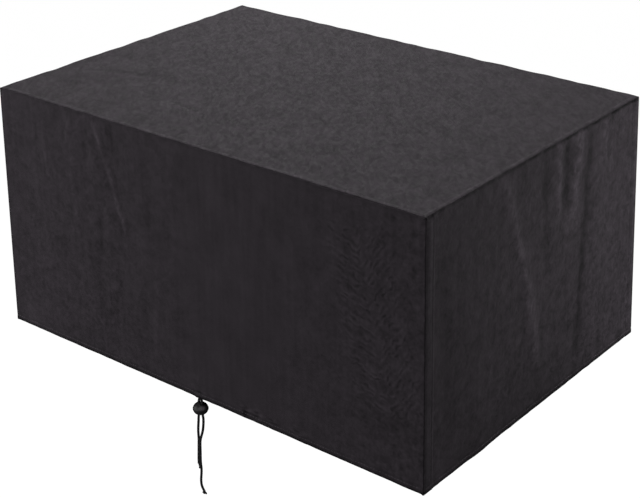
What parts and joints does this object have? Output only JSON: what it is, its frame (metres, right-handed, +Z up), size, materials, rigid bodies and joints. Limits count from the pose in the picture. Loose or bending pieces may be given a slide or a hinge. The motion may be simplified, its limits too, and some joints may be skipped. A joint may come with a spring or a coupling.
{
  "type": "patio furniture cover",
  "caption": "Fitted, box-shaped outdoor furniture cover of dark woven cloth, sewn from a top and side panels, hemmed, with a drawcord and cord lock at the front hem.",
  "frame": {"origin": "on the underside of the top panel, in its middle, where the load under the cover holds it up", "axes": "+Z up, +X along the front hem from its left end to its right end, -Y out of the front panel, where the drawcord hangs"},
  "size_m": [1.262, 0.915, 0.899],
  "materials": {
    "cover_cloth": "coated plain-weave polyester, matte with a faint sheen",
    "drawcord": "braided cord, matte",
    "lock_plastic": "moulded, satin"
  },
  "bodies": {
    "root": {"top_panel": "cover_cloth", "front_panel": "cover_cloth", "right_panel": "cover_cloth", "back_panel": "cover_cloth", "left_panel": "cover_cloth", "cord_lock": "lock_plastic", "long_strand": "drawcord", "short_strand": "drawcord", "long_knot": "drawcord", "short_knot": "drawcord"}
  },
  "joints": []
}
